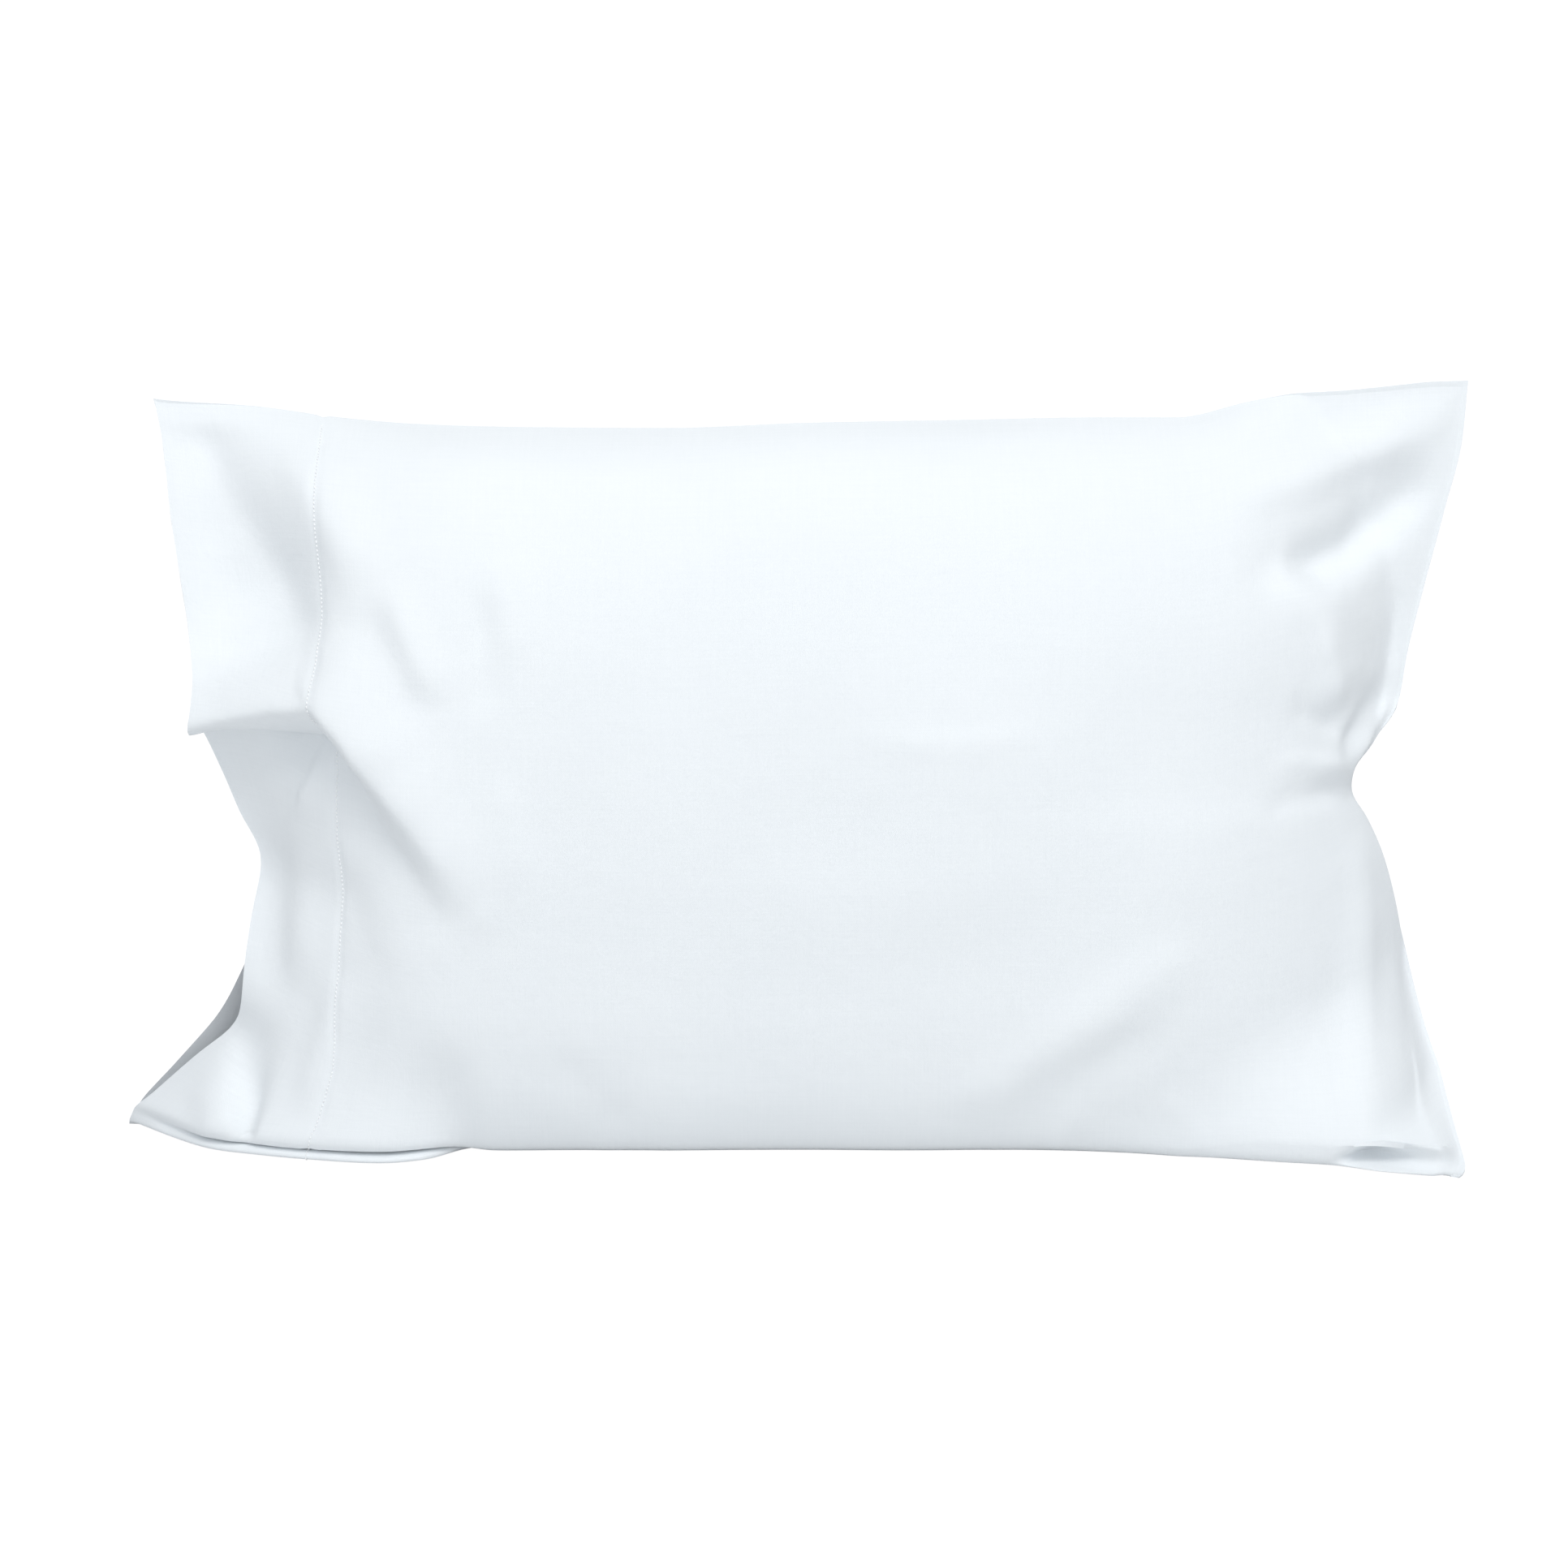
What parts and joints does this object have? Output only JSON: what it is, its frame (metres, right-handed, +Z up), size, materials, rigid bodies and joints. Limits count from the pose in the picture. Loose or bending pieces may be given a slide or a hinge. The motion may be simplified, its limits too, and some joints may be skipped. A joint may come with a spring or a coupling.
{
  "type": "bed pillow",
  "caption": "Soft bed pillow in a plain cotton case with a wide turned cuff at its open end, standing on one long edge; the insert slides out of the mouth.",
  "frame": {"origin": "on the floor, under the middle of the pillow: the centre of the bounding box's bottom face", "axes": "+X from the open mouth towards the closed end, along the long edge it stands on; +Z up; the front face looks along -Y"},
  "size_m": [0.762, 0.1952, 0.436],
  "materials": {
    "percale_white": "matte",
    "sewing_thread": "satin",
    "ticking": "matte",
    "piping_cord": "matte",
    "fibre": "matte",
    "label_tape": "satin"
  },
  "bodies": {
    "case": {"case_front_panel": "percale_white", "case_back_panel": "percale_white", "front_cuff_facing": "percale_white", "back_cuff_facing": "percale_white", "front_cuff_stitching": "sewing_thread", "back_cuff_stitching": "sewing_thread", "case_seam_serging": "sewing_thread", "case_care_label": "label_tape"},
    "insert": {"insert_front_ticking": "ticking", "insert_back_ticking": "ticking", "insert_piping": "piping_cord", "insert_seam_serging": "sewing_thread", "insert_closing_stitches": "sewing_thread", "insert_law_label": "label_tape", "fibre_fill": "fibre"}
  },
  "joints": [
    {"name": "insert_withdrawal", "type": "slide", "parent": "case", "child": "insert", "axis": [-1, 0, 0], "range_m": [0, 0.76], "deforming": ["case_front_panel", "case_back_panel", "front_cuff_facing", "back_cuff_facing", "front_cuff_stitching", "back_cuff_stitching", "case_seam_serging", "case_care_label"]}
  ]
}
